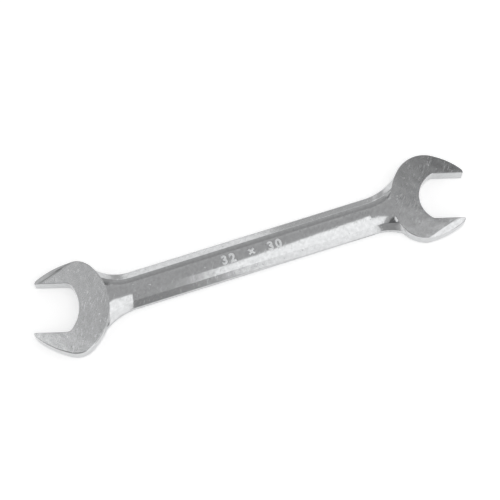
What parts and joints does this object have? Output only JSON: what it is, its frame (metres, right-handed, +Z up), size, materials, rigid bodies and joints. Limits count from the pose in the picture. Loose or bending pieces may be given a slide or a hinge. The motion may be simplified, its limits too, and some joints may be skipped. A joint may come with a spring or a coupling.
{
  "type": "open end wrench",
  "caption": "Forged open end wrench: slanted open jaws in flat heads at the ends of a bevelled, lightly crowned shank, chrome plated with satin head faces.",
  "frame": {"origin": "on the plane that the wrench rests on, below the middle line of the shank, halfway between the centres of the nuts in its jaws", "axes": "+X along the shank towards the head for the smaller nut, +Z up, out of the upper faces of the heads, +Y across the shank"},
  "size_m": [0.2984, 0.0607, 0.0115],
  "materials": {
    "chrome_plate": "chrome plate, satin on the flat faces of the heads and bright on the shank and the edges"
  },
  "bodies": {
    "root": {"wrench_forging": "chrome_plate"}
  },
  "joints": []
}
